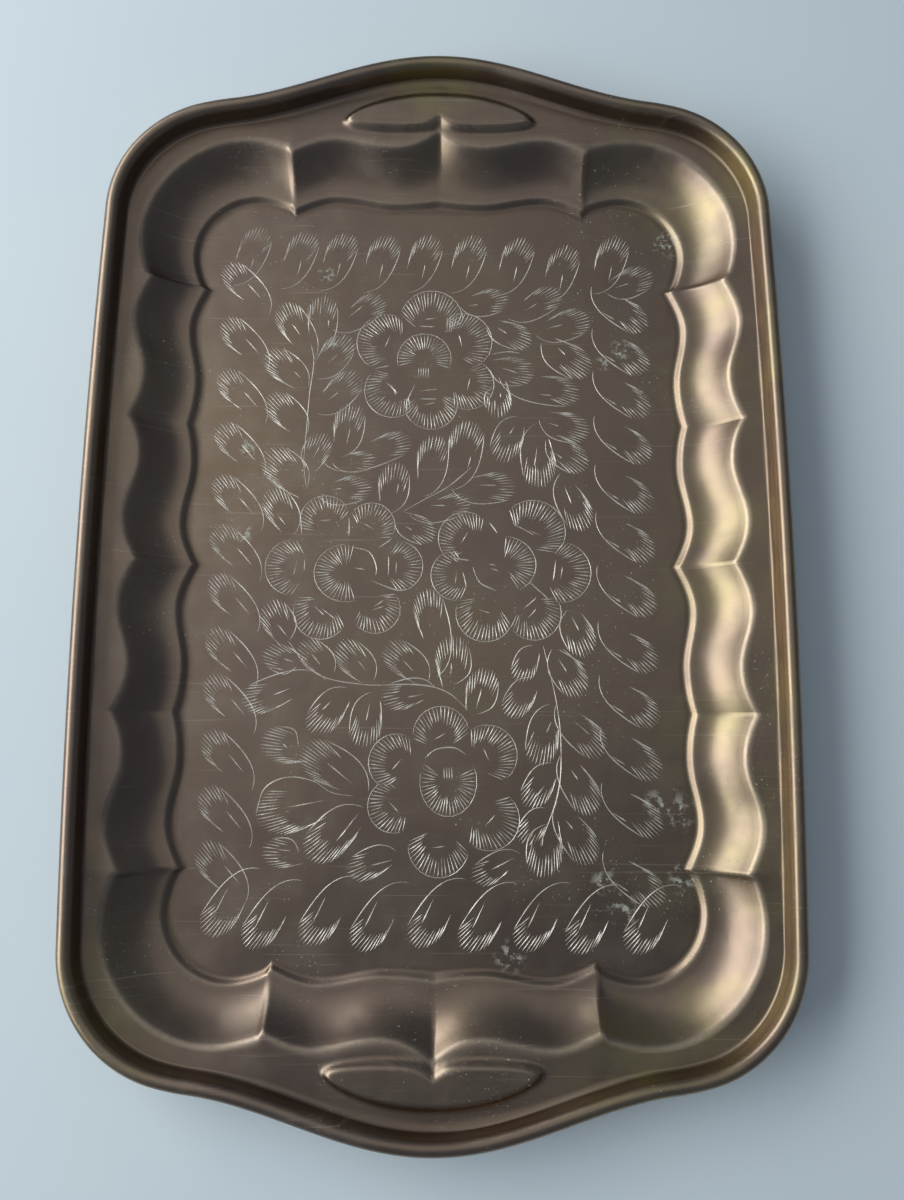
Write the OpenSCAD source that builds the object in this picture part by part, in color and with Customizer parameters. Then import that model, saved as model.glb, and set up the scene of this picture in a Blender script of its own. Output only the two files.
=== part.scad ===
// Brass serving tray: one sheet pressed into a shallow pan with a fluted wall,
// its edge rolled over a stiffening wire. The origin is under the middle of the
// floor, +Y runs along the length and +Z is up.

/* [Tray] */
// Overall width, across the middle of the long sides
tray_w = 190; // [150:1:260]
// Overall length, between the tips of the bowed ends
tray_l = 294; // [240:1:400]
// Overall height, from the table to the top of the rim
tray_h = 16.5; // [14.5:0.5:24]
// Thickness of the brass sheet
sheet = 0.8; // [0.6:0.1:1]

/* [Outline] */
// Radius of the four corners of the rim
corner_r = 34; // [28:0.5:38]
// How far each long side bows out at its middle
side_bow = 1.7; // [0:0.1:4]
// How far each end swells out past its shoulders
end_swell = 14.5; // [8:0.5:20]
// Half the length of the swell along the end
swell_reach = 68; // [60:1:78]

/* [Fluted wall] */
// Width of the wall from the floor's edge to the ridge
wall_w = 16; // [13:0.5:19]
// Height of the ridge above the floor
ridge_h = 9; // [6:0.5:10]
// Height of the small step that bounds the floor
step_h = 1.4; // [1:0.1:2]
// Radius of the floor's corners, before they swell into lobes
floor_r = 15; // [12:0.5:18]
// How far the crease beside each corner stands back from its curve
crease_back = 8; // [5:0.5:12]
// How far the flutes along the sides and ends stand out
lobe = 4; // [2:0.25:5]
// How far the flutes round the corners stand out
corner_lobe = 5; // [2:0.25:5.5]
// How far the groove in the middle of each end runs out
end_groove = 7; // [4:0.25:7.5]

/* [Ledge] */
// Width of the ledge from the ridge's creases to the foot of the rim
ledge_w = 7.4; // [6.5:0.1:12]
// How far the ledge rises from the ridge to the foot of the rim
ledge_rise = 0.8; // [0:0.1:1.5]
// Length of the raised thumb pad at each end
pad_l = 56; // [40:1:70]
// Width of the thumb pad
pad_w = 13; // [10:0.5:14]
// Gap from the pad to the foot of the rim at the end's middle
pad_gap = 4; // [3:0.1:5]
// Height of the pad above the ledge
pad_h = 1.8; // [1:0.1:2.4]

/* [Rolled rim] */
// Diameter of the wire inside the rim
wire_d = 2.2; // [1.6:0.1:3]
// Gap between the wire and the sheet rolled over it
wire_clear = 0.1; // [0.05:0.05:0.3]
// Run of the sloping riser below the roll
riser_run = 0.3; // [0.2:0.1:1]
// Gap between the two butted ends of the wire
butt_gap = 0.6; // [0.2:0.1:2]

/* [Hidden] */

// Ring points along each stretch of a quarter: side, corner and end
side_steps = 16;
corner_steps = 10;
end_steps = 8;
quarter_steps = side_steps + corner_steps + end_steps;
ring_steps = 4 * quarter_steps;

roll_r = wire_d / 2 + wire_clear + sheet;
roll_z = tray_h - roll_r;
rim_band = 2 * roll_r + riser_run;
rim_hx = tray_w / 2 - side_bow;
rim_hy = tray_l / 2 - end_swell;
ridge_hx = rim_hx - rim_band - ledge_w;
ridge_hy = rim_hy - rim_band - ledge_w;
floor_hx = ridge_hx - wall_w;
floor_hy = ridge_hy - wall_w;
// The creases beside each corner, on the long side and on the end
crease_y = floor_hy - floor_r - crease_back;
crease_x = floor_hx - floor_r - crease_back;
floor_z = sheet;
ridge_z = floor_z + ridge_h;
pad_y = tray_l / 2 - rim_band - pad_gap - pad_w / 2;
// How far the pad's ends fall back along the curve of the rim
pad_bend = 3;
// The share of the pad's oval that its sloping edge takes up
pad_edge = 0.45;
// The flat plate stops this far inside the floor's wavy edge
plate_inset = 4;
// The ridge is rounded over this run, and rises by these on each side of it
ridge_round = 1.6;
ridge_drop = 1;
ridge_lift = min(0.3, ledge_rise);
// The step's slope, the cove's rise to the ridge, and its curve
step_run = 3;
cove_run = wall_w - ridge_round - step_run;
cove_rise = ridge_h - ridge_drop - step_h;
cove_power = 1.8;
cove_parts = 3;
ledge_parts = 4;
// The roll starts level with the wire on its inner side and turns over it
roll_step = 45;
roll_turns = 7;

// Place p runs from 0 to 3 round a quarter: up the side to the crease, round
// the corner, and along the end to its middle.
function place(j) =
    j <= side_steps ? j / side_steps
    : j <= side_steps + corner_steps ? 1 + (j - side_steps) / corner_steps
    : 2 + (j - side_steps - corner_steps) / end_steps;

// Point at place p of a rounded rectangle, and the angle of its outward normal
function frame_spot(hx, hy, r, p) =
    let (up = hy - r - crease_y, arc = r * PI / 2, along = hx - r - crease_x,
         t = (p - 1) * (up + arc + along), turn = (t - up) / r * 180 / PI)
    p <= 1 ? [hx, p * crease_y, 0]
    : p >= 2 ? [crease_x * (3 - p), hy, 90]
    : t < up ? [hx, crease_y + t, 0]
    : t < up + arc ? [hx - r + r * cos(turn), hy - r + r * sin(turn), turn]
    : [hx - r - (t - up - arc), hy, 90];

// Half a pattern of flutes, from a sharp crest at u = 0 out to a crown, back to
// a soft crest and out again to a groove at u = 1. The crown stands out by 1.
crown_at = 0.3;
soft_at = 0.7;
function flute_wave(u, soft, groove) =
    let (f = (u - crown_at) / (soft_at - crown_at), g = (u - soft_at) / (1 - soft_at))
    u < crown_at ? sin(90 * u / crown_at)
    : u < soft_at ? soft + (1 - soft) * (1 + cos(180 * f)) / 2
    : soft + (groove - soft) * g * g;

// The pattern stands twice along each side and once along each end. The soft
// crests and grooves are given for the sides and for the ends.
function flute(p, soft, groove) =
    p <= 1 ? lobe * flute_wave(min(2 * p, 2 - 2 * p), soft[0], groove[0])
    : p < 2 ? corner_lobe * sqrt(max(0, sin(180 * (p - 1))))
    : lobe * flute_wave(p - 2, soft[1], groove[1]);

function fluted_spot(hx, hy, r, soft, groove, p) =
    let (s = frame_spot(hx, hy, r, p), out = flute(p, soft, groove))
    [s.x + out * cos(s.z), s.y + out * sin(s.z)];

// The flutes are shallower at the floor's edge than at the ridge
floor_soft = [0.45, 0.45];
floor_groove = [0.85, 0.6];
ridge_soft = [0.1, 0.4];
ridge_groove = [1, end_groove / lobe];
function floor_line(p) =
    fluted_spot(floor_hx, floor_hy, floor_r, floor_soft, floor_groove, p);
function ridge_line(p) =
    fluted_spot(ridge_hx, ridge_hy, floor_r + wall_w, ridge_soft, ridge_groove, p);

// Outer edge of the rim, with its bowed sides and swelling ends
function outline(p) =
    let (s = frame_spot(rim_hx, rim_hy, corner_r, p),
         bow = side_bow * (1 - pow(min(1, s.y / (rim_hy - corner_r)), 2)),
         swell = s.x < swell_reach ? (1 + cos(180 * s.x / swell_reach)) / 2 : 0)
    [s.x + bow * (s.z == 0 ? 1 : 0), s.y + end_swell * swell];

// The step in p over which the outline's direction is taken
nudge = 0.02;
function outline_normal(p) =
    let (a = outline(max(0, p - nudge)), b = outline(min(3, p + nudge)),
         run = p == 0 ? [0, 1] : p == 3 ? [-1, 0] : b - a)
    [run.y, -run.x] / norm(run);

function rim_line(p, inset) = outline(p) - inset * outline_normal(p);

// Point on the edge of the rectangular plate inside the floor's wavy edge
function plate_spot(p) =
    let (hx = floor_hx - plate_inset, hy = floor_hy - plate_inset)
    p <= 1 ? [hx, p * crease_y]
    : p >= 2 ? [(3 - p) * crease_x, hy]
    : p <= 1.5 ? [hx, crease_y + 2 * (p - 1) * (hy - crease_y)]
    : [crease_x + 2 * (2 - p) * (hx - crease_x), hy];

// Plan point at place p and distance d out from the floor's edge
function plan_spot(p, d) =
    let (past = d - wall_w - ledge_w, f = d / wall_w, g = (d - wall_w) / ledge_w)
    d < 0 ? plate_spot(p)
    : past >= 0 ? rim_line(p, rim_band - past)
    : g >= 0 ? (1 - g) * ridge_line(p) + g * rim_line(p, rim_band)
    : (1 - f) * floor_line(p) + f * ridge_line(p);

// How far the thumb pad lifts the ledge at a plan point
function pad(s) =
    let (u = 2 * s.x / pad_l, v = 2 * (abs(s.y) - pad_y + pad_bend * u * u) / pad_w)
    pad_h * max(0, min(1, (1 - u * u - v * v) / pad_edge));

// The sheet's upper face in section, as [distance out, height]: the floor's
// edge, the step, the cove up to the ridge, the ledge, the riser and the roll.
upper_face = concat(
    [[-plate_inset, floor_z], [0, floor_z]],
    [for (i = [0:cove_parts]) let (f = i / cove_parts)
        [step_run + f * cove_run, floor_z + step_h + cove_rise * pow(f, cove_power)]],
    [[wall_w, ridge_z]],
    [for (i = [0:ledge_parts]) let (f = i / ledge_parts)
        [wall_w + ridge_round + f * (ledge_w - ridge_round),
            ridge_z + ridge_lift + f * (ledge_rise - ridge_lift)]],
    [for (i = [0:roll_turns]) let (a = 180 - roll_step * i)
        [wall_w + ledge_w + riser_run + roll_r * (1 + cos(a)), roll_z + roll_r * sin(a)]]);

function right_of(v) = [v.y, -v.x] / norm(v);

// The same section moved down and out by the sheet's thickness
function under(i) =
    let (last = len(upper_face) - 1,
         before = i == 0 ? [0, -1] : right_of(upper_face[i] - upper_face[i - 1]),
         after = i == last ? before : right_of(upper_face[i + 1] - upper_face[i]))
    upper_face[i] + sheet * (before + after) / (1 + before * after);
lower_face = [for (i = [len(upper_face) - 1:-1:0]) under(i)];

// One closed ring of the sheet at a section point
function ring_spot(k, d) =
    let (q = floor(k / quarter_steps), j = k % quarter_steps,
         s = plan_spot(place(q % 2 == 0 ? j : quarter_steps - j), d))
    [q == 0 || q == 3 ? s.x : -s.x, q < 2 ? s.y : -s.y];
function ring(c) =
    let (on_ledge = c.x > wall_w + sheet && c.x < wall_w + ledge_w)
    [for (k = [0:ring_steps - 1]) let (s = ring_spot(k, c.x))
        [s.x, s.y, c.y + (on_ledge ? pad(s) : 0)]];

// Two triangles for each cell between ring i and the next, of count rings with
// n points each; the last ring is followed by the first
function band(i, n, count) =
    [for (k = [0:n - 1]) let (j = (i + 1) % count, next = (k + 1) % n)
        each [[i * n + k, i * n + next, j * n + k],
            [i * n + next, j * n + next, j * n + k]]];

module pressed_pan() {
    section = concat(upper_face, lower_face);
    rings = [for (c = section) each ring(c)];
    count = len(section);
    wall = [for (i = [0:count - 1]) each band(i, ring_steps, count)];
    color([0.55, 0.47, 0.32]) {
        translate([plate_inset - floor_hx, plate_inset - floor_hy, 0])
            cube([2 * (floor_hx - plate_inset), 2 * (floor_hy - plate_inset), sheet]);
        polyhedron(rings, wall);
    }
}

// The wire lies in the roll and butts together at the middle of one long side
module rim_wire() {
    wire_sides = 360 / roll_step;
    path = [for (k = [0:ring_steps])
        let (s = ring_spot(k % ring_steps, wall_w + ledge_w + riser_run + roll_r))
        k == 0 ? [s.x, butt_gap / 2] : k == ring_steps ? [s.x, -butt_gap / 2] : s];
    last = ring_steps;
    rings = [for (k = [0:last])
        let (ahead = k == last ? path[k] - path[k - 1] : path[k + 1] - path[k],
             behind = k == 0 ? ahead : path[k] - path[k - 1],
             out = right_of(ahead / norm(ahead) + behind / norm(behind)))
        for (i = [0:wire_sides - 1]) let (a = i * roll_step, r = wire_d / 2)
            [path[k].x + out.x * r * cos(a), path[k].y + out.y * r * cos(a), roll_z + r * sin(a)]];
    sides = [for (k = [0:last - 1]) each band(k, wire_sides, last + 1)];
    ends = [[for (i = [wire_sides - 1:-1:0]) i],
        [for (i = [0:wire_sides - 1]) last * wire_sides + i]];
    color([0.6, 0.55, 0.45])
        polyhedron(rings, concat(sides, ends));
}

pressed_pan();
rim_wire();
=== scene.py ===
import math
import random

import bpy
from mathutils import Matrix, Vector
from mathutils.geometry import delaunay_2d_cdt


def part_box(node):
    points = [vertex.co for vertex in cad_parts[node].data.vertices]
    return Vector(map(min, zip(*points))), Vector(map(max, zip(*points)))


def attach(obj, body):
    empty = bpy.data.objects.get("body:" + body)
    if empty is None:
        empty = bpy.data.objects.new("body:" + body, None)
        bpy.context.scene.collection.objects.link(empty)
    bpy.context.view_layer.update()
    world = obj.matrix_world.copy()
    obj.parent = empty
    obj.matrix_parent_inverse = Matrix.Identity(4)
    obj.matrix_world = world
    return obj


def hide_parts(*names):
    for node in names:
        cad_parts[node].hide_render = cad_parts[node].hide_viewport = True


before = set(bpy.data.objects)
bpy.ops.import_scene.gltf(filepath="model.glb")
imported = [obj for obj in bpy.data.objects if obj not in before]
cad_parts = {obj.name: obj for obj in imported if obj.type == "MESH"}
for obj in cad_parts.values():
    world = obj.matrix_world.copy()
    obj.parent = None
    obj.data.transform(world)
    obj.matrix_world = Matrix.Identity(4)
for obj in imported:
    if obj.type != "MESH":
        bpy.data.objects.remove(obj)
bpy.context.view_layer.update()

# ---- The pressed pan ---------------------------------------------------------
# One sheet of brass pressed between dies: a flat floor, a small step round it, a
# wall of flutes up to a round ridge, a ledge with a raised thumb pad at each end,
# and an edge rolled out and down over a wire. All lengths are in millimetres.
MM = 0.001
pan_low, pan_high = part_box("pressed_pan")
HALF_WIDTH = (pan_high.x - pan_low.x) / 2 / MM
HALF_LENGTH = (pan_high.y - pan_low.y) / 2 / MM
HEIGHT = pan_high.z / MM
SHEET = 0.8

CORNER_R = 34.0
SIDE_BOW = 1.7
END_SWELL = 14.5
SWELL_REACH = 68.0
WALL_W = 16.0
RIDGE_H = 9.0
STEP_H = 1.4
STEP_RUN = 3.0
FLOOR_R = 15.0
CREASE_BACK = 8.0
LOBE = 4.0
CORNER_LOBE = 5.0
END_GROOVE = 7.0
FLOOR_SOFT = (0.45, 0.45)
FLOOR_GROOVE = (0.85, 0.6)
RIDGE_SOFT = (0.1, 0.4)
RIDGE_GROOVE = (1.0, END_GROOVE / LOBE)
LEDGE_W = 7.4
LEDGE_RISE = 0.8
PAD_L = 56.0
PAD_W = 13.0
PAD_H = 1.8
PAD_GAP = 4.0
PAD_BEND = 3.0
PAD_SLOPE = 2.6
PAD_FADE = 1.8
WIRE_D = 2.2
WIRE_CLEAR = 0.1
RISER_RUN = 0.3

ROLL_R = WIRE_D / 2 + WIRE_CLEAR + SHEET
ROLL_Z = HEIGHT - ROLL_R
RIM_BAND = 2 * ROLL_R + RISER_RUN
RIM_HX = HALF_WIDTH - SIDE_BOW
RIM_HY = HALF_LENGTH - END_SWELL
RIDGE_HX = RIM_HX - RIM_BAND - LEDGE_W
RIDGE_HY = RIM_HY - RIM_BAND - LEDGE_W
FLOOR_HX = RIDGE_HX - WALL_W
FLOOR_HY = RIDGE_HY - WALL_W
CREASE_Y = FLOOR_HY - FLOOR_R - CREASE_BACK
CREASE_X = FLOOR_HX - FLOOR_R - CREASE_BACK
RIDGE_Z = SHEET + RIDGE_H
PAD_Y = HALF_LENGTH - RIM_BAND - PAD_GAP - PAD_W / 2


def clamp(x, low=0.0, high=1.0):
    return max(low, min(high, x))


def frame_spot(hx, hy, r, p):
    """Point and outward angle at place p, from 0 to 3, on a quarter of a rounded
    rectangle: up the side to the crease, round the corner, along the end."""
    if p <= 1:
        return hx, p * CREASE_Y, 0.0
    if p >= 2:
        return CREASE_X * (3 - p), hy, math.pi / 2
    up = hy - r - CREASE_Y
    arc = r * math.pi / 2
    along = hx - r - CREASE_X
    t = (p - 1) * (up + arc + along)
    if t < up:
        return hx, CREASE_Y + t, 0.0
    if t < up + arc:
        turn = (t - up) / r
        return hx - r + r * math.cos(turn), hy - r + r * math.sin(turn), turn
    return hx - r - (t - up - arc), hy, math.pi / 2


def flute_wave(u, soft, groove):
    """Half a pattern of flutes, from a sharp crest at 0 out to a crown, back to a
    soft crest and out again to a groove at 1."""
    crown_at = 0.3
    soft_at = 0.7
    if u < crown_at:
        return math.sin(math.pi / 2 * u / crown_at)
    if u < soft_at:
        f = (u - crown_at) / (soft_at - crown_at)
        return soft + (1 - soft) * (1 + math.cos(math.pi * f)) / 2
    return soft + (groove - soft) * ((u - soft_at) / (1 - soft_at)) ** 2


def flute(p, soft, groove):
    """How far the flutes stand out at place p. The pattern stands twice along each
    side and once along each end."""
    if p <= 1:
        return LOBE * flute_wave(min(2 * p, 2 - 2 * p), soft[0], groove[0])
    if p < 2:
        return CORNER_LOBE * math.sqrt(max(0.0, math.sin(math.pi * (p - 1))))
    return LOBE * flute_wave(p - 2, soft[1], groove[1])


def floor_line(p):
    x, y, turn = frame_spot(FLOOR_HX, FLOOR_HY, FLOOR_R, p)
    out = flute(p, FLOOR_SOFT, FLOOR_GROOVE)
    return Vector((x + out * math.cos(turn), y + out * math.sin(turn)))


def ridge_line(p):
    x, y, turn = frame_spot(RIDGE_HX, RIDGE_HY, FLOOR_R + WALL_W, p)
    out = flute(p, RIDGE_SOFT, RIDGE_GROOVE)
    return Vector((x + out * math.cos(turn), y + out * math.sin(turn)))


def outline(p):
    """The rim's outer edge, with its bowed sides and swelling ends."""
    x, y, turn = frame_spot(RIM_HX, RIM_HY, CORNER_R, p)
    if turn == 0:
        x += SIDE_BOW * (1 - min(1.0, y / (RIM_HY - CORNER_R)) ** 2)
    if x < SWELL_REACH:
        y += END_SWELL * (1 + math.cos(math.pi * x / SWELL_REACH)) / 2
    return Vector((x, y))


def rim_line(p, inset):
    """The rim's outer edge at place p, moved inwards square to itself."""
    nudge = 0.01
    if p < nudge:
        run = Vector((0, 1))
    elif p > 3 - nudge:
        run = Vector((-1, 0))
    else:
        run = (outline(p + nudge) - outline(p - nudge)).normalized()
    return outline(p) - inset * Vector((run.y, -run.x))


def plan_spot(p, d):
    """Plan point at place p and distance d out from the floor's edge."""
    past = d - WALL_W - LEDGE_W
    if past >= 0:
        return rim_line(p, RIM_BAND - past)
    ridge = ridge_line(p)
    if d >= WALL_W:
        g = (d - WALL_W) / LEDGE_W
        return ridge.lerp(rim_line(p, RIM_BAND), g)
    edge = floor_line(p)
    return edge + (ridge - edge) * (d / WALL_W)


SIDE_STEPS = 114
CORNER_STEPS = 62
END_STEPS = 50
QUARTER_STEPS = SIDE_STEPS + CORNER_STEPS + END_STEPS
RING_STEPS = 4 * QUARTER_STEPS


def place(j):
    """Place of the ring's point j on a quarter."""
    if j <= SIDE_STEPS:
        return j / SIDE_STEPS
    if j <= SIDE_STEPS + CORNER_STEPS:
        return 1 + (j - SIDE_STEPS) / CORNER_STEPS
    return 2 + (j - SIDE_STEPS - CORNER_STEPS) / END_STEPS


def ring(d):
    """The closed plan line at distance d, anticlockwise from the right-hand side."""
    quarter = [plan_spot(place(j), d) for j in range(QUARTER_STEPS + 1)]
    spots = []
    for q in range(4):
        order = quarter[:-1] if q % 2 == 0 else quarter[:0:-1]
        sx = 1 if q in (0, 3) else -1
        sy = 1 if q < 2 else -1
        spots += [Vector((sx * s.x, sy * s.y)) for s in order]
    return spots


def pad(s, d):
    """How far the thumb pad lifts the ledge at plan point s, distance d out."""
    u = 2 * s.x / PAD_L
    v = 2 * (abs(s.y) - PAD_Y + PAD_BEND * u * u) / PAD_W
    room = 1 - u * u - v * v
    if room <= 0 or d <= WALL_W:
        return 0.0
    # About how far s lies inside the pad's oval
    inside = room / (4 * math.hypot(u / PAD_L, v / PAD_W))
    rise = clamp(inside / PAD_SLOPE) * clamp((d - WALL_W) / PAD_FADE)
    return PAD_H * rise * rise * (3 - 2 * rise)


BEND_STEPS = 7


def filleted(corners):
    """A path through corners, each (distance, height, radius), its bends rounded."""
    path = [Vector(corners[0][:2])]
    for before, corner, after in zip(corners, corners[1:], corners[2:]):
        at = Vector(corner[:2])
        back = (Vector(before[:2]) - at).normalized()
        on = (Vector(after[:2]) - at).normalized()
        half = math.acos(clamp(back.dot(on), -1, 1)) / 2
        reach = corner[2] / math.tan(half)
        centre = at + (back + on).normalized() * (corner[2] / math.sin(half))
        a = at + back * reach - centre
        b = at + on * reach - centre
        swing = a.angle_signed(b)
        for i in range(BEND_STEPS + 1):
            turn = -swing * i / BEND_STEPS
            c, s = math.cos(turn), math.sin(turn)
            path.append(centre + Vector((c * a.x - s * a.y, s * a.x + c * a.y)))
    path.append(Vector(corners[-1][:2]))
    return path


# The upper face in section. The cove steepens from the step up to the ridge.
FLOOR_MARGIN = 1.2
RIDGE_ROUND = 1.6
RIDGE_DROP = 1.0
COVE_STEPS = 16
COVE_POWER = 1.8
LEDGE_STEPS = 22
ROLL_STEPS = 36
ROLL_TURN = 315
cove_run = WALL_W - RIDGE_ROUND - STEP_RUN
cove_rise = RIDGE_H - RIDGE_DROP - STEP_H
cove = []
for i in range(COVE_STEPS):
    f = 0.08 + 0.84 * i / (COVE_STEPS - 1)
    cove.append((STEP_RUN + f * cove_run, SHEET + STEP_H + cove_rise * f ** COVE_POWER, 0.0))
foot_d = WALL_W + LEDGE_W
lower_part = filleted([(-FLOOR_MARGIN, SHEET, 0), (0.75, SHEET, 1.9),
                       (2.3, SHEET + STEP_H - 0.14, 2.2), cove[0]])
upper_part = filleted([cove[-1], (WALL_W - 0.5, RIDGE_Z + 0.12, 3.6),
                       (foot_d, RIDGE_Z + LEDGE_RISE, 1.3),
                       (foot_d + RISER_RUN - 0.02, ROLL_Z - 0.5, 3.0),
                       (foot_d + RISER_RUN, ROLL_Z, 0)])
ridge_end = BEND_STEPS + 1
ledge_from, ledge_to = upper_part[ridge_end:ridge_end + 2]
upper_face = lower_part[:-1] + [Vector(c[:2]) for c in cove] + upper_part[1:ridge_end + 1]
upper_face += [ledge_from.lerp(ledge_to, i / LEDGE_STEPS) for i in range(1, LEDGE_STEPS)]
upper_face += upper_part[ridge_end + 1:-1]
roll_d = foot_d + RISER_RUN + ROLL_R
for i in range(ROLL_STEPS + 1):
    turn = math.pi - math.radians(ROLL_TURN) * i / ROLL_STEPS
    upper_face.append(Vector((roll_d + ROLL_R * math.cos(turn), ROLL_Z + ROLL_R * math.sin(turn))))


def under(path):
    """The path moved to the sheet's other face."""
    moved = []
    for i, at in enumerate(path):
        run = path[min(i + 1, len(path) - 1)] - path[max(i - 1, 0)]
        moved.append(at + SHEET * Vector((run.y, -run.x)).normalized())
    moved[0] = Vector((path[0].x, path[0].y - SHEET))
    return moved


lower_face = under(upper_face)[::-1]


def sheet_ring(at):
    """One closed ring of the sheet at a section point, as points in space."""
    on_ledge = WALL_W < at.x < foot_d
    points = []
    for s in ring(at.x):
        lift = pad(s, at.x) if on_ledge else 0.0
        points.append((s.x, s.y, at.y + lift))
    return points


# ---- The engraving -----------------------------------------------------------
# Every line is one push of a V graver into the floor: it enters thin, swells and
# is flicked out. Leaves and petals are fans of such cuts round a plain middle,
# with a longer cut for the stem and a dash for the vein.
CUT_WIDTH = 0.37
CUT_DEPTH = 0.32
FAN_PITCH = 1.12
WIDEST_AT = 0.72
FLICK_FROM = 0.75
hand = random.Random(7)
cut_points = []
cut_faces = []
cut_depths = []


def shake(amount):
    return hand.uniform(-amount, amount)


def graver_cut(path, width=CUT_WIDTH, entry=0.3):
    """One V-shaped cut along path, widest three quarters of the way along."""
    if len(path) == 2:
        path = [path[0], path[0].lerp(path[1], WIDEST_AT), path[1]]
    last = len(path) - 1
    before = None
    for i, at in enumerate(path):
        s = i / last
        swell = entry + (1 - entry) * min(1.0, s / WIDEST_AT)
        if s > FLICK_FROM:
            swell *= math.sqrt(max(0.0, (1 - s) / (1 - FLICK_FROM)))
        half = width * swell / 2
        if i == 0:
            half = 0.0
        run = (path[min(i + 1, last)] - path[max(i - 1, 0)]).normalized()
        side = Vector((-run.y, run.x)) * half
        first = len(cut_points)
        if half < 0.01:
            cut_points.append(at.copy())
            cut_depths.append(0.0)
            now = (first, first, first)
        else:
            cut_points.extend([at + side, at.copy(), at - side])
            cut_depths.extend([0.0, 2 * half * CUT_DEPTH, 0.0])
            now = (first, first + 1, first + 2)
        if before:
            for a, b in ((0, 1), (1, 2)):
                quad = [before[b], now[b], now[a], before[a]]
                corners = [c for j, c in enumerate(quad) if c != quad[j - 1]]
                if len(corners) == 3:
                    cut_faces.append(corners)
                elif len(corners) == 4:
                    cut_faces.append([corners[0], corners[1], corners[2]])
                    cut_faces.append([corners[0], corners[2], corners[3]])
        before = now


def curve(a, b, c, d, pitch=1.1):
    """Points along the bend from a to d that b and c pull towards them."""
    steps = max(3, int((d - a).length / pitch))
    spots = []
    for i in range(steps + 1):
        t = i / steps
        n = 1 - t
        spots.append(a * n ** 3 + b * 3 * n * n * t + c * 3 * n * t * t + d * t ** 3)
    return spots


def through(*spots, pitch=1.1):
    """Points along a smooth line through all the spots."""
    spots = [Vector(s) for s in spots]
    line = [spots[0]]
    for i in range(len(spots) - 1):
        before = spots[i - 1] if i else spots[0] * 2 - spots[1]
        after = spots[i + 2] if i + 2 < len(spots) else spots[-1] * 2 - spots[-2]
        pull = (spots[i + 1] - before) / 6
        ease = (after - spots[i]) / 6
        line += curve(spots[i], spots[i] + pull, spots[i + 1] - ease, spots[i + 1], pitch)[1:]
    return line


def fan(centre, u, w, long_half, wide_half, start, end, focus, length):
    """Cuts round an oval from angle start to end, all aimed at one focus."""
    size = (long_half + wide_half) / 2
    turn = start
    while turn < end:
        a = math.radians(turn)
        outer = centre + u * (long_half * math.cos(a)) + w * (wide_half * math.sin(a))
        aim = (focus - outer).normalized()
        cut = length * (1 + shake(0.14))
        outer = outer - aim * (0.25 + shake(0.1))
        inner = outer + aim * cut + Vector((shake(0.1), shake(0.1)))
        if hand.random() < 0.5:
            outer, inner = inner, outer
        graver_cut([inner, outer], CUT_WIDTH * (1 + shake(0.2)), 0.55)
        turn += math.degrees(FAN_PITCH / size) * (1 + shake(0.1))


def leaf(root, tip, width, side=-1, vein=None, stem=True):
    """A leaf from its root to its tip. Its stem's cut runs up the side named."""
    root, tip = Vector(root), Vector(tip)
    u = (tip - root).normalized()
    w = Vector((-u.y, u.x)) * side
    reach = (tip - root).length
    long_half = 0.62 * width
    wide_half = width / 2
    centre = tip - u * long_half
    stem_turn = math.radians(62)
    end = centre + u * (long_half * math.cos(stem_turn)) + w * (wide_half * math.sin(stem_turn))
    if stem:
        low = root + w * (0.3 * reach) + u * (0.15 * reach)
        high = centre + w * (wide_half * 1.15) - u * (long_half * 0.7)
        graver_cut(curve(root, low, high, end), CUT_WIDTH * 0.9, 0.35)
    focus = centre - u * (3.2 * long_half)
    fan(centre, u, -w, long_half, wide_half, -60, 120, focus, clamp(0.62 * width, 4.2, 6.8))
    if vein:
        graver_cut([Vector(vein[0]), Vector(vein[1])], CUT_WIDTH * 1.25, 0.35)


def petal(heart, centre, radius, start=-92, end=92):
    """A round petal whose fan faces away from the flower's heart."""
    heart, centre = Vector(heart), Vector(centre)
    u = (centre - heart).normalized()
    w = Vector((-u.y, u.x))
    fan(centre, u, w, radius, radius, start, end, centre - u * (0.6 * radius), 0.64 * radius)
    arc = []
    for i in range(13):
        a = math.radians(start + 6 + (end - start - 12) * i / 12)
        arc.append(centre + (u * math.cos(a) + w * math.sin(a)) * (radius + 0.15))
    graver_cut(arc, CUT_WIDTH * 0.6, 0.5)
    dash = centre + Vector((shake(0.6), shake(0.6)))
    lean = (w + u * shake(0.5)).normalized() * 2
    graver_cut([dash - lean, dash + lean], CUT_WIDTH * 1.1, 0.3)


def flower_heart(centre, wide, tall, start, end, length):
    """The flower's round middle, fanned over part of its edge."""
    centre = Vector(centre)
    fan(centre, Vector((1, 0)), Vector((0, 1)), wide, tall, start, end, centre, length)
    arc = []
    for i in range(14):
        a = math.radians(start + (end - start) * i / 13)
        arc.append(centre + Vector((wide * math.cos(a), tall * math.sin(a))) * 1.03)
    graver_cut(arc, CUT_WIDTH * 0.6, 0.5)


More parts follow.
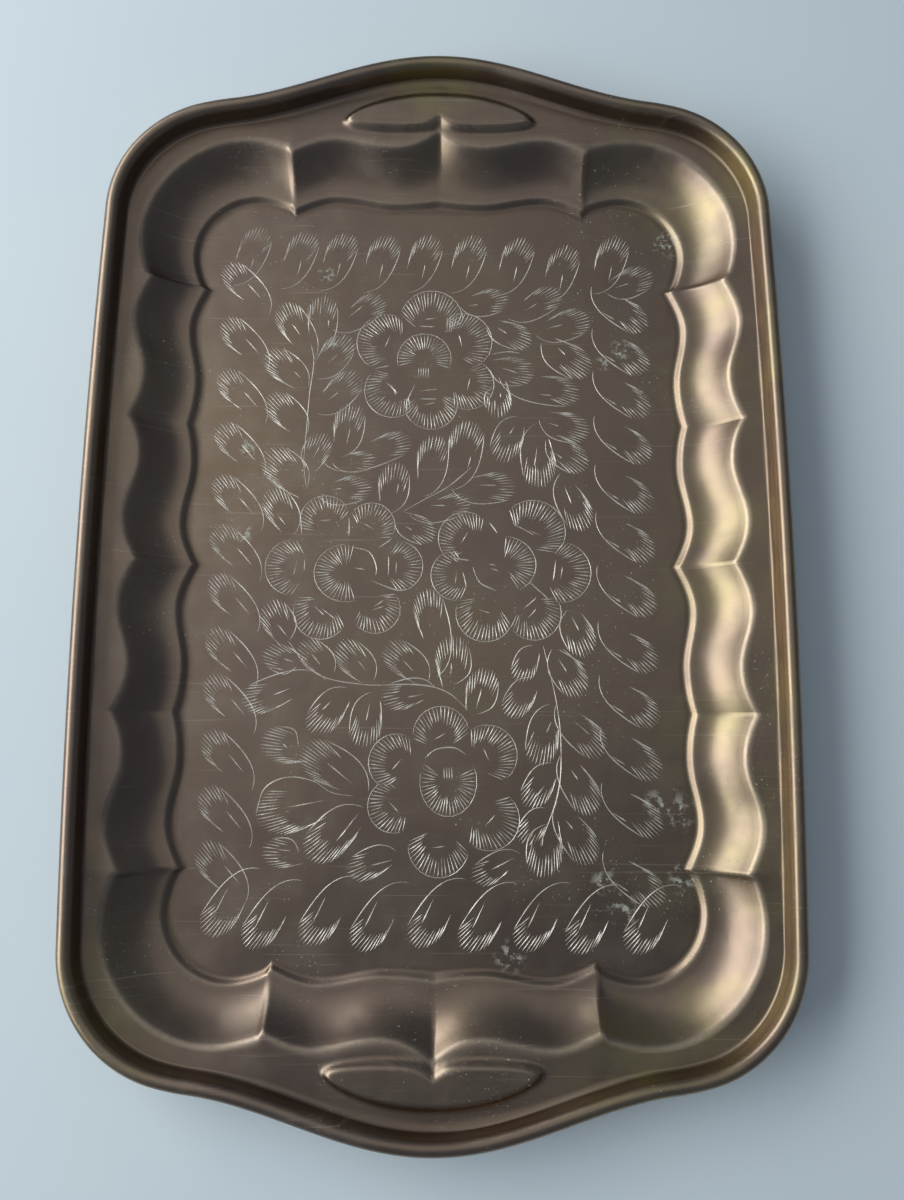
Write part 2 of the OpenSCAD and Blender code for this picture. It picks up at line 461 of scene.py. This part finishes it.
# The border: a row of leaves along each edge of the floor
for x, y in [(-53.5, 97), (-39.5, 96), (-28, 95.5), (-15.5, 95), (-3, 95), (10, 95),
             (24, 94.5), (37.5, 92), (52, 95)]:
    leaf((x - 7, y - 13.5), (x + 2, y + 4.5), 9, vein=((x - 2, y - 9.5), (x - 1, y - 4.5)))
leaf((49, 82), (63, 88), 9, vein=((52, 83.5), (56, 85)))
for y in [73, 60, 47, 33.5, 19, 5, -10.5, -26, -41, -55, -70, -88]:
    leaf((45, y + 11), (60.5, y - 2.5), 8.8, vein=((47.5, y + 3), (51.5, y + 0.5)))
for y in [88, 71, 55, 39, 23.5, 9, -5, -20, -33, -48, -63]:
    leaf((-49.5, y - 14), (-62.5, y + 2), 8.5, vein=((-51.5, y - 9), (-56, y - 4)))
leaf((-50, -91), (-62.5, -75.5), 9, vein=((-51.5, -86), (-56, -81)))
for x, y in [(-59, -93), (-48, -96), (-33, -95), (-19.5, -96.5), (-4.5, -95.5),
             (9, -96.5), (23.5, -96.5), (37, -97), (52.5, -97)]:
    leaf((x + 13, y + 11), (x - 1.5, y - 5.5), 9, vein=((x + 4.5, y + 6.5), (x + 1, y - 0.5)))

# The upper left spray
graver_cut(through((-37, 22), (-38, 30), (-37.5, 40), (-37, 50), (-36, 60), (-37, 66)))
leaf((-37, 22), (-49, 33), 11)
leaf((-37.5, 38), (-48.5, 50), 9)
leaf((-37.5, 52), (-49.5, 63), 9, vein=((-39.5, 55), (-41.5, 57)))
leaf((-36.5, 60), (-45.5, 78), 9, vein=((-40, 68), (-42.5, 71.5)))
leaf((-35.5, 62), (-33, 80.5), 9, vein=((-32, 70.5), (-32, 73)))
leaf((-31, 70), (-15.5, 80), 8, vein=((-26.5, 73.5), (-22, 77.5)))
leaf((-35.5, 55), (-25.5, 68), 9, vein=((-32, 59.5), (-29, 62.5)))
leaf((-35, 44.5), (-22.5, 56.5), 9, vein=((-31.5, 48.5), (-28.5, 51)))
leaf((-27.5, 31.5), (-24, 47.5), 9, vein=((-26, 35), (-25, 40.5)))
leaf((-37, 28), (-32, 38.5), 8, side=1, vein=((-35.5, 31), (-33.5, 35)))
leaf((-32.5, 30), (-7.5, 36.5), 8)
leaf((-30, 30), (-17.5, 30.5), 6)
leaf((-34, 20.5), (-18.5, 23), 8, vein=((-30, 22), (-27, 22.3)))
leaf((-40, 9), (-47.5, 22), 9, vein=((-42.5, 11.5), (-45, 14.5)))

# The upper right spray
leaf((6.5, 77), (20.5, 80), 8, vein=((8.5, 77.5), (11.5, 78)))
leaf((20, 74), (36, 82), 8, vein=((25, 76), (29, 78.5)))
leaf((28, 69), (44.5, 74), 9, vein=((31, 70.5), (36.5, 72)))
leaf((14, 72), (27, 66), 8, vein=((17, 71), (20, 69)))
leaf((15, 58), (28, 57), 9, vein=((18.5, 58.5), (23, 57)))
graver_cut(through((15, 62.5), (20, 63.5), (24, 63)))
leaf((30, 66.5), (44, 57), 10, vein=((34.5, 65), (37, 62.5)))
leaf((17.5, 56), (41, 50), 9, vein=((29, 50.5), (33, 50.3)))
leaf((17, 53), (17.5, 43.5), 8, vein=((18, 51), (18, 49.5)))
leaf((23, 44), (17.5, 30.5), 9, vein=((22, 41), (20.5, 38.5)))
leaf((28.5, 42), (29, 23), 10, vein=((28.5, 35), (27.5, 29)))
leaf((29, 43), (43.5, 39), 9, vein=((31.5, 42), (35, 41)))
leaf((31, 37), (42.5, 28.5), 9, vein=((33.5, 33), (35.5, 31.5)))
leaf((35, 27), (41.5, 10.5), 9, vein=((36, 23.5), (38, 18)))

# The spray in the middle
graver_cut(through((-10, 15.5), (-4, 19), (3, 23), (10, 29)))
leaf((-13.5, 15), (-11.5, 30), 9, vein=((-11.5, 20.5), (-11, 24)))
leaf((-4, 20), (0, 38), 9)
leaf((4, 22), (10, 42.5), 10, vein=((8.5, 28), (9.5, 32)))
leaf((4, 22.5), (22.5, 23), 9, vein=((11.5, 23.5), (17, 23.5)))
leaf((-8, 15), (9.5, 18.5), 7, vein=((-2, 17.5), (2.5, 17.5)))
leaf((-12, 14), (-0.5, 8), 8, vein=((-9, 11.5), (-7, 10.3)))

# The lower left spray
graver_cut(through((-41, -21), (-33, -30), (-20, -33), (-5, -33), (3, -35), (9, -40)))
leaf((-40.5, -21), (-47, -10), 9, vein=((-41, -20), (-44, -16.5)))
leaf((-38, -28), (-47.5, -24), 8, side=1, vein=((-39, -27), (-42, -26)))
leaf((-28, -30), (-37.5, -21.5), 8, vein=((-31.5, -28), (-34.5, -24.5)))
leaf((-17, -32), (-27, -21.5), 9, vein=((-19, -29.5), (-21.5, -26.5)))
leaf((-2, -32), (-14, -22), 9, vein=((-6, -29.5), (-9.5, -26)))
leaf((0, -31), (-2.5, -6.5), 9)
leaf((5, -33), (4.5, -19.5), 10, vein=((4, -31), (4.2, -27)))
leaf((11, -41), (14, -28.5), 9, vein=((11, -39.5), (12.5, -34)))
leaf((-30, -32), (-53, -38), 9, vein=((-39.5, -34), (-44.5, -36)))
leaf((-24, -34), (-34, -46), 9, vein=((-28.5, -37.5), (-31, -40)))
leaf((-17.5, -35), (-20, -50), 9, vein=((-18, -38), (-19, -43)))
leaf((0, -34), (-15, -37), 8, vein=((-3, -35.5), (-8, -36.5)))

# The lower right spray
graver_cut(through((29.5, -22), (33, -38), (34, -50), (33, -62), (28, -76)))
leaf((36.5, -12), (41.5, -25), 9, vein=((37.5, -14), (39.5, -18)))
leaf((32, -23), (40, -36), 9, vein=((33.5, -25.5), (36, -29.5)))
leaf((33, -38), (45.5, -52), 9, vein=((37.5, -42.5), (42, -46.5)))
leaf((34.5, -51), (42.5, -67.5), 9, vein=((36.5, -55.5), (38.5, -58.5)))
leaf((33, -64), (42, -80.5), 9, vein=((35, -69), (37, -71.5)))
leaf((31.5, -38), (27.5, -54.5), 9, vein=((31.5, -43), (30, -46)))
leaf((32, -54), (24.5, -65.5), 8, vein=((29.5, -60), (27, -63)))
leaf((30, -66), (23, -75), 7)
leaf((30, -70), (28.5, -84), 10, vein=((29, -73.5), (28.5, -76)))
leaf((27, -31), (19.5, -41.5), 8)
leaf((27, -22), (22.5, -32), 7)
leaf((23, -78), (10, -84.5), 7, vein=((21, -79), (15, -82)))

# The broad leaves at the lower left
leaf((-18, -62), (-36, -50), 11, vein=((-22, -60), (-29.5, -54)))
leaf((-21, -63), (-48, -68), 13, vein=((-29, -64), (-40, -66)), stem=False)
graver_cut(through((-22, -63), (-28, -62), (-33, -59), (-40, -58), (-46, -61), (-48, -68)))
leaf((-19, -66), (-34, -79), 11, vein=((-20.5, -67.5), (-26.5, -75)))
leaf((-36, -78), (-46, -77.5), 8, vein=((-38, -77.3), (-42, -77)))
leaf((-10, -77.5), (-23, -83), 8, vein=((-11, -79.5), (-17, -81)))
leaf((-37, -50), (-47.5, -48.5), 10, vein=((-40, -50.5), (-41.5, -49)))

# The four flowers, each six petals round a heart
for heart, petals in [
    ((-4, 60), [(-2, 73, 9), (-15, 66, 8.5), (-13, 51.5, 8), (-2, 47.5, 7.5),
                (8.5, 53.5, 7.5), (7, 66.5, 8.5)]),
    ((-25, -1), [(-40, -0.5, 7.8), (-31.5, 13, 7), (-18.5, 11.5, 6.5), (-11, 0, 7),
                 (-17, -12, 6.8), (-32, -13, 7.5)]),
    ((18.5, -0.5), [(8, 8, 7.5), (27, 10, 9), (34.5, -1.5, 8.5), (27, -13, 7.5),
                    (13.5, -13, 8), (5.5, -2.5, 7)]),
    ((3, -60), [(1.5, -46.5, 7.5), (-10.5, -54, 7.5), (-11, -65.5, 7), (1, -76, 8),
                (14.5, -69, 8), (14, -52, 8)]),
]:
    for x, y, radius in petals:
        petal(heart, (x, y), radius)
flower_heart((-4, 61), 7.6, 7.6, -20, 200, 4.8)
flower_heart((-25, -2), 9, 8, 80, 290, 5.4)
flower_heart((18.5, 0.5), 9, 8, -60, 85, 5.6)
flower_heart((3.5, -59), 7.5, 9, 150, 390, 4.8)
for x in [-5.7, -5, -4.3, -3.6, -2.9]:
    graver_cut([Vector((x, 55)), Vector((x + 0.1, 58.5))], CUT_WIDTH, 0.5)
for x in [2.3, 3, 3.7, 4.4]:
    graver_cut([Vector((x, -55)), Vector((x + 0.1, -58.5))], CUT_WIDTH, 0.5)

# The single strokes that outline the hearts and mark the petals
for stroke in [
    [(-18.5, 58), (-14, 59)], [(-15, 54), (-11.5, 50.5)], [(-6, 71.2), (-1, 71)],
    [(-6.5, 53.5), (-9, 48), (-9, 45)], [(-5.5, 49), (0, 49)], [(-5.5, 51.3), (0, 52)],
    [(-24, 5.5), (-19, 4), (-17, 0), (-17, -3)], [(-23, -0.5), (-20, -1)],
    [(-18.5, -4), (-11.5, -6.7), (-8, -6.5)], [(-24.8, 14), (-24.7, 8.5)],
    [(-16.5, 5), (-12.5, 8)], [(-38.5, 15), (-38, 9)], [(-37, -2), (-37, 2)],
    [(-13.5, -3), (-13.5, 3)], [(-32, -12), (-28, -15)], [(-17.5, -11.5), (-14.5, -9.5)],
    [(10, 0), (12, -4.5), (17, -7)], [(14.5, 0.7), (16.5, 0.4)], [(15, -0.5), (17.3, -1.2)],
    [(3.5, 2.5), (9.5, 1.7)], [(7.3, -1.5), (8.3, -6)], [(14.5, 13), (17, 9.5)],
    [(22, 12), (27.5, 9)], [(33.3, 2), (32.5, -4)], [(26, -4.5), (31, -9)],
    [(24, -12), (28, -8.5)], [(-3, -53), (0, -50.5), (5, -50), (8.5, -52)],
    [(33.5, -23), (41, -27.5)],
]:
    graver_cut(through(*stroke), CUT_WIDTH, 0.4)


# ---- The pan's mesh ----------------------------------------------------------
# The sheet is one closed skin: rings up the inside, round the roll and back along
# the underside. The floor's face is divided along the cuts, and their bottoms sink.
section = upper_face + lower_face
vertices = []
faces = []
cut_mark = []
for at in section:
    vertices += sheet_ring(at)
for i in range(len(section) - 1):
    for k in range(RING_STEPS):
        n = (k + 1) % RING_STEPS
        a, b = i * RING_STEPS, (i + 1) * RING_STEPS
        faces.append((a + k, b + k, b + n, a + n))
wall_faces = len(faces)

floor_ring = [Vector(v[:2]) for v in vertices[:RING_STEPS]]
flat_points = floor_ring + cut_points
flat_faces = [list(range(RING_STEPS))]
for corners in cut_faces:
    a, b, c = (cut_points[i] for i in corners)
    facing = (b - a).cross(c - a)
    if abs(facing) > 1e-6:
        corners = corners if facing > 0 else corners[::-1]
        flat_faces.append([i + RING_STEPS for i in corners])
spots, _, triangles, from_points, _, from_faces = delaunay_2d_cdt(
    flat_points, [], flat_faces, 1, 1e-4, True)


def shares_in(corners, at):
    """How much each corner of a cut's face counts at a point. All are positive inside it."""
    a, b, c = (flat_points[i] for i in corners)
    whole = (b - a).cross(c - a)
    share_b = (at - a).cross(c - a) / whole
    share_c = (b - a).cross(at - a) / whole
    return 1 - share_b - share_c, share_b, share_c


spot_depth = [0.0] * len(spots)
floor_triangles = [(c, sources) for c, sources in zip(triangles, from_faces) if 0 in sources]
for corners, sources in floor_triangles:
    middle = (spots[corners[0]] + spots[corners[1]] + spots[corners[2]]) / 3
    cuts = [flat_faces[i] for i in sources if i > 0]
    over = [face for face in cuts if min(shares_in(face, middle)) > -0.01]
    cut_mark.append(bool(over))
    for face in over:
        for c in corners:
            depths = [cut_depths[i - RING_STEPS] for i in face]
            depth = sum(d * share for d, share in zip(depths, shares_in(face, spots[c])))
            spot_depth[c] = max(spot_depth[c], clamp(depth, 0.0, max(depths)))
number = []
for i, spot in enumerate(spots):
    ring_source = [p for p in from_points[i] if p < RING_STEPS]
    if ring_source:
        number.append(ring_source[0])
    else:
        number.append(len(vertices))
        vertices.append((spot.x, spot.y, SHEET - spot_depth[i]))
for corners, _ in floor_triangles:
    faces.append([number[c] for c in corners])
last_ring = (len(section) - 1) * RING_STEPS
faces.append([last_ring + k for k in range(RING_STEPS - 1, -1, -1)])

pan_mesh = bpy.data.meshes.new("pressed_pan_brass")
pan_mesh.from_pydata([Vector(v) * MM for v in vertices], [], faces)
pan = bpy.data.objects.new("pressed_pan_brass", pan_mesh)
bpy.context.scene.collection.objects.link(pan)
for i, face in enumerate(pan_mesh.polygons):
    face.use_smooth = i < wall_faces
for i, marked in enumerate(cut_mark):
    if marked:
        pan_mesh.polygons[wall_faces + i].material_index = 1


def hump(x, middle, spread):
    """One at the middle, fading to nothing at the given spread either side."""
    return max(0.0, 1 - abs(x - middle) / spread) ** 1.5


# Handling has rubbed the high lines bright, and the same marks carry a painted highlight: the
# ridge, the top of the roll, the shoulder of the step and the pads' edges. The corners, the foot
# under the roll and the underside get grime and painted shade.
wear_and_highlight = []
shade_and_grime = []
for i, at in enumerate(section):
    above = i < len(upper_face)
    wear_and_highlight_here = shade_and_grime_here = 0.0
    if above:
        # Painted highlight, on top of real wear, along the ridge, the step's shoulder and the
        # roll's top
        wear_and_highlight_here = max(0.9 * hump(at.x, WALL_W - 0.4, 1.6), 0.5 * hump(at.x, STEP_RUN - 0.6, 1.0),
                  0.35 * hump(at.x, roll_d, 1.1) * (at.y > ROLL_Z + 1))
        # Painted shade, with grime, in the floor's edge crease and at the foot under the roll
        shade_and_grime_here = max(0.55 * hump(at.x, 0.2, 1.3),
                   0.3 * hump(at.x, foot_d - 0.2, 1.5) * (at.y < ROLL_Z))
    else:
        # The whole underside is darkened with painted shade and grime
        shade_and_grime_here = 0.45
    for k in range(RING_STEPS):
        lift = vertices[i * RING_STEPS + k][2] - at.y
        # Painted highlight, with wear, along the pads' edges
        edge = hump(lift, 0.72 * PAD_H, 0.4 * PAD_H) if above else 0.0
        wear_and_highlight.append(max(wear_and_highlight_here, 0.9 * edge))
        # Painted shade, with grime, at the pads' feet
        shade_and_grime.append(max(shade_and_grime_here, 0.5 * hump(lift, 0.1 * PAD_H, 0.08 * PAD_H) * above))
floor_spots = len(vertices) - len(wear_and_highlight)
for name, values in (("wear_and_highlight", wear_and_highlight), ("shade_and_grime", shade_and_grime)):
    layer = pan_mesh.attributes.new(name, "FLOAT", "POINT")
    layer.data.foreach_set("value", values + [0.0] * floor_spots)


def wire_up(tree, socket, value):
    """Link value to a socket if it is one, and set it if it is a plain value."""
    if isinstance(value, bpy.types.NodeSocket):
        tree.links.new(value, socket)
    elif hasattr(socket.default_value, "__len__") and len(value) == 3:
        socket.default_value = (*value, 1) if len(socket.default_value) == 4 else value
    else:
        socket.default_value = value


def span(tree, value, low, high, to_low=0.0, to_high=1.0):
    """Value from low to high turned into a value from to_low to to_high."""
    node = tree.nodes.new("ShaderNodeMapRange")
    for socket, given in zip(node.inputs, (value, low, high, to_low, to_high)):
        wire_up(tree, socket, given)
    return node.outputs[0]


def maths(tree, kind, a, b):
    node = tree.nodes.new("ShaderNodeMath")
    node.operation = kind
    wire_up(tree, node.inputs[0], a)
    wire_up(tree, node.inputs[1], b)
    return node.outputs[0]


def layered(tree, share, under, over):
    """The colour over laid on the colour under by its share."""
    node = tree.nodes.new("ShaderNodeMix")
    node.data_type = "RGBA"
    wire_up(tree, node.inputs[0], share)
    wire_up(tree, node.inputs[6], under)
    wire_up(tree, node.inputs[7], over)
    return node.outputs[2]


def mottle(tree, at, scale, low, high, detail=5.0):
    """Cloudy patches, 0 where the noise is below low and 1 where it is over high."""
    node = tree.nodes.new("ShaderNodeTexNoise")
    node.inputs["Scale"].default_value = scale
    node.inputs["Detail"].default_value = detail
    node.inputs["Roughness"].default_value = 0.6
    tree.links.new(at, node.inputs["Vector"])
    return span(tree, node.outputs["Fac"], low, high)


def turned(tree, at, angle, stretch):
    """The coordinates turned about Z and stretched along each axis."""
    node = tree.nodes.new("ShaderNodeMapping")
    node.inputs["Rotation"].default_value = (0, 0, math.radians(angle))
    node.inputs["Scale"].default_value = stretch
    tree.links.new(at, node.inputs["Vector"])
    return node.outputs[0]


def object_place(tree):
    return tree.nodes.new("ShaderNodeTexCoord").outputs["Object"]


def painted(tree, name):
    node = tree.nodes.new("ShaderNodeAttribute")
    node.attribute_name = name
    return node.outputs["Fac"]


def bumped(tree, height, distance, below=None):
    node = tree.nodes.new("ShaderNodeBump")
    node.inputs["Distance"].default_value = distance
    tree.links.new(height, node.inputs["Height"])
    if below:
        tree.links.new(below, node.inputs["Normal"])
    return node.outputs[0]


def stain(tree, at, x, y, radius):
    """A round patch on the brass at (x, y), fading out to its radius."""
    node = tree.nodes.new("ShaderNodeVectorMath")
    node.operation = "DISTANCE"
    tree.links.new(turned(tree, at, 0, (1, 1, 0)), node.inputs[0])
    node.inputs[1].default_value = (x * MM, y * MM, 0)
    return span(tree, node.outputs["Value"], radius * MM, radius * MM * 0.3)


def marks(tree, at, places, texture):
    """Patches at all the places given, broken up by a texture."""
    found = 0.0
    for x, y, radius in places:
        found = maths(tree, "MAXIMUM", found, stain(tree, at, x, y, radius))
    return maths(tree, "MULTIPLY", found, texture)


# Where the marks of use and the painted sheen lie, each as x, y and radius. The sheen patches are
# a painted
# sheen: a lighter, yellower tone laid mostly along the right side, standing in for the window's
# warm reflection.
WATER_STAINS = [(67, 97, 5), (-33, 87, 3), (-30, 66, 2.5), (53, 64, 4), (48, 60, 3),
                (-54, 9, 3), (-54, 34, 3)]
SHEEN_PATCHES = [(82, 120, 40), (86, 60, 34), (84, 5, 34), (86, -50, 34), (82, -100, 40),
        (60, -130, 34), (0, 138, 26), (-84, -115, 26)]
VERDIGRIS = [(45, -85, 4), (60, -65, 5), (65, -67, 6), (50, -92, 5), (66, -84, 5), (20, -104, 5)]

brass = bpy.data.materials.new("tarnished_brass")
brass.use_nodes = True
tree = brass.node_tree
shader = tree.nodes["Principled BSDF"]
at = object_place(tree)
clouds = mottle(tree, at, 16, 0.38, 0.62)
patches = mottle(tree, at, 62, 0.45, 0.68)
grains = mottle(tree, at, 520, 0.35, 0.7)
# Wear and painted highlight on the high lines, broken up by grain
wear_and_highlight_mask = maths(tree, "MULTIPLY", painted(tree, "wear_and_highlight"), span(tree, grains, 0, 1, 0.55, 1.0))
# Painted shade and grime in the creases and underneath, broken up by patches
shade_and_grime_mask = maths(tree, "MULTIPLY", painted(tree, "shade_and_grime"), span(tree, patches, 0, 1, 0.6, 1.0))
scratch_a = mottle(tree, turned(tree, at, 24, (18, 1300, 18)), 1, 0.66, 0.74, 2)
scratch_b = mottle(tree, turned(tree, at, -52, (26, 1700, 26)), 1, 0.68, 0.76, 2)
scratches = maths(tree, "MAXIMUM", scratch_a, scratch_b)
stains = marks(tree, at, WATER_STAINS, mottle(tree, at, 800, 0.5, 0.62, 3))
green = marks(tree, at, VERDIGRIS, mottle(tree, at, 420, 0.5, 0.6, 4))
# Painted sheen: patches of warm reflection, mostly down the right side that faces the window
painted_sheen = marks(tree, at, SHEEN_PATCHES, mottle(tree, at, 44, 0.42, 0.62, 3))
specks = maths(tree, "MULTIPLY", mottle(tree, at, 1500, 0.7, 0.76, 1),
               mottle(tree, at, 30, 0.5, 0.6))
patina = maths(tree, "MAXIMUM", maths(tree, "MAXIMUM", stains, green), specks)

colour = layered(tree, clouds, (0.265, 0.205, 0.162), (0.31, 0.24, 0.17))
colour = layered(tree, maths(tree, "MULTIPLY", patches, 0.4), colour, (0.28, 0.25, 0.20))
# Painted reflection: the sheen patches lighten and yellow the brass where the window's light falls
colour = layered(tree, maths(tree, "MULTIPLY", painted_sheen, 0.75), colour, (0.37, 0.32, 0.17))
colour = layered(tree, maths(tree, "MULTIPLY", scratches, 0.3), colour, (0.62, 0.54, 0.42))
# Lighter on the high lines: wear and painted highlight
colour = layered(tree, maths(tree, "MULTIPLY", wear_and_highlight_mask, 0.6), colour, (0.60, 0.52, 0.40))
# Near-black painted shade and grime in the creases, under the roll and on the underside
colour = layered(tree, shade_and_grime_mask, colour, (0.05, 0.037, 0.027))
colour = layered(tree, patina, colour, (0.50, 0.54, 0.45))
tree.links.new(colour, shader.inputs["Base Color"])
tree.links.new(span(tree, patina, 0, 1, 1.0, 0.25), shader.inputs["Metallic"])
rough = span(tree, patches, 0, 1, 0.36, 0.46)
# The painted shade mask also roughens the surface, as grime does
rough = maths(tree, "ADD", rough, maths(tree, "MULTIPLY", shade_and_grime_mask, 0.3))
rough = maths(tree, "ADD", rough, maths(tree, "MULTIPLY", patina, 0.3))
rough = maths(tree, "ADD", rough, maths(tree, "MULTIPLY", scratches, 0.1))
tree.links.new(rough, shader.inputs["Roughness"])
waves = bumped(tree, mottle(tree, at, 48, 0.3, 0.7, 2), 0.00012)
pits = bumped(tree, grains, 0.000006, waves)
tree.links.new(bumped(tree, scratches, 0.000008, pits), shader.inputs["Normal"])

# The walls of the cuts are clean metal, dulled in patches by dried polish
bright = bpy.data.materials.new("graver_cuts")
bright.use_nodes = True
tree = bright.node_tree
shader = tree.nodes["Principled BSDF"]
at = object_place(tree)
polish = mottle(tree, at, 240, 0.42, 0.7)
colour = layered(tree, polish, (0.80, 0.79, 0.70), (0.42, 0.37, 0.28))
tree.links.new(colour, shader.inputs["Base Color"])
shader.inputs["Metallic"].default_value = 0.35
tree.links.new(span(tree, polish, 0, 1, 0.35, 0.6), shader.inputs["Roughness"])
chatter = mottle(tree, at, 2600, 0.3, 0.7, 2)
tree.links.new(bumped(tree, chatter, 0.00001), shader.inputs["Normal"])

pan_mesh.materials.append(brass)
pan_mesh.materials.append(bright)
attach(pan, "root")
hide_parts("pressed_pan")

# ---- The rim wire ------------------------------------------------------------
# A drawn steel wire, bent to the rim's outline and butted at the middle of one
# side. The brass is rolled over it, so only its underside can be seen.
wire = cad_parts["rim_wire"]
steel = bpy.data.materials.new("edge_wire")
steel.use_nodes = True
tree = steel.node_tree
shader = tree.nodes["Principled BSDF"]
at = object_place(tree)
rust = mottle(tree, at, 130, 0.48, 0.66)
colour = layered(tree, rust, (0.36, 0.35, 0.33), (0.17, 0.09, 0.05))
tree.links.new(colour, shader.inputs["Base Color"])
tree.links.new(span(tree, rust, 0, 1, 1.0, 0.2), shader.inputs["Metallic"])
tree.links.new(span(tree, rust, 0, 1, 0.38, 0.85), shader.inputs["Roughness"])
drawn = mottle(tree, at, 1800, 0.3, 0.7, 3)
tree.links.new(bumped(tree, drawn, 0.00002), shader.inputs["Normal"])
wire.data.materials.clear()
wire.data.materials.append(steel)

# ---- The table, the light and the camera -------------------------------------
# A plain pale table top, a wide window on the left, a dim ceiling, and a camera
# held over the tray, a little towards its near end.
TABLE_HALF = 1.5
table_corners = [(sx * TABLE_HALF, sy * TABLE_HALF, 0)
                 for sx, sy in ((-1, -1), (1, -1), (1, 1), (-1, 1))]
table_mesh = bpy.data.meshes.new("table_top")
table_mesh.from_pydata(table_corners, [], [(0, 1, 2, 3)])
table = bpy.data.objects.new("table_top", table_mesh)
bpy.context.scene.collection.objects.link(table)
paper = bpy.data.materials.new("white_table")
paper.use_nodes = True
tree = paper.node_tree
shader = tree.nodes["Principled BSDF"]
at = object_place(tree)
colour = layered(tree, mottle(tree, at, 9, 0.3, 0.7, 3), (0.80, 0.95, 1.0), (0.83, 0.97, 1.0))
tree.links.new(colour, shader.inputs["Base Color"])
shader.inputs["Roughness"].default_value = 0.6
table_mesh.materials.append(paper)


def soft_light(name, spot, size_x, size_y, watts, colour):
    """A square-cornered lamp at the spot, facing the tray."""
    data = bpy.data.lights.new(name, "AREA")
    data.shape = "RECTANGLE"
    data.size = size_x
    data.size_y = size_y
    data.energy = watts
    data.color = colour
    lamp = bpy.data.objects.new(name, data)
    lamp.location = spot
    lamp.rotation_euler = (-Vector(spot)).to_track_quat("-Z", "Y").to_euler()
    bpy.context.scene.collection.objects.link(lamp)


soft_light("window", (-0.95, 0.2, 0.66), 1.9, 0.6, 14.6, (1.0, 0.98, 0.99))
soft_light("ceiling", (-0.15, 0.4, 1.35), 1.4, 1.4, 1.9, (1.0, 0.97, 0.93))

world = bpy.data.worlds.new("room")
world.use_nodes = True
sky = world.node_tree.nodes["Background"]
sky.inputs["Color"].default_value = (0.42, 0.48, 0.62, 1)
sky.inputs["Strength"].default_value = 0.23
bpy.context.scene.world = world

camera_data = bpy.data.cameras.new("camera")
camera_data.sensor_width = 36
camera_data.lens = 27.15
camera = bpy.data.objects.new("camera", camera_data)
camera.location = (0.0030, -0.0476, 0.2494)
camera.rotation_euler = (0.152, -0.006, 0.004)
bpy.context.scene.collection.objects.link(camera)
bpy.context.scene.camera = camera
bpy.context.scene.view_settings.view_transform = "Standard"
